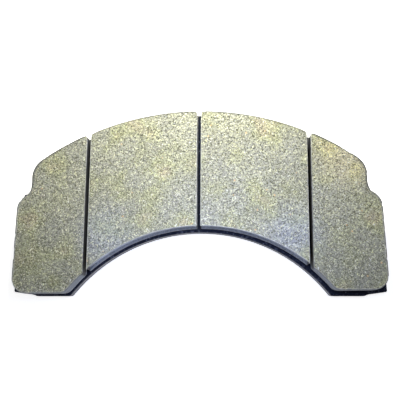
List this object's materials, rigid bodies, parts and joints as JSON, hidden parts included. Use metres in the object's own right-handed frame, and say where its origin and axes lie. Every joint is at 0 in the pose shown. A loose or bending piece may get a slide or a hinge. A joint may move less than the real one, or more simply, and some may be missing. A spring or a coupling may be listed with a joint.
{
  "type": "disc brake pad",
  "caption": "Arched steel backing plate with slotted friction blocks bonded to it, for a hydraulic truck disc brake.",
  "frame": {"origin": "middle of the plate's outline, on the plate's back face, which the pad lies on", "axes": "+X along the pad, +Y towards its arched outer edge, +Z towards the brake disc, out of the friction face"},
  "size_m": [0.2016, 0.1012, 0.019],
  "materials": {
    "plate_steel": "black powder coat, semi-gloss, on stamped steel",
    "bond": "cured adhesive film",
    "underlayer": "moulded, matt dark grey",
    "friction": "ground grey-green friction compound with bright metal flecks and short fibres"
  },
  "bodies": {
    "root": {"backing_plate": "plate_steel", "bond_film_left_end": "bond", "bond_film_left_middle": "bond", "bond_film_right_middle": "bond", "bond_film_right_end": "bond", "underlayer_left_end": "underlayer", "underlayer_left_middle": "underlayer", "underlayer_right_middle": "underlayer", "underlayer_right_end": "underlayer", "friction_block_left_end": "friction", "friction_block_left_middle": "friction", "friction_block_right_middle": "friction", "friction_block_right_end": "friction"}
  },
  "joints": []
}
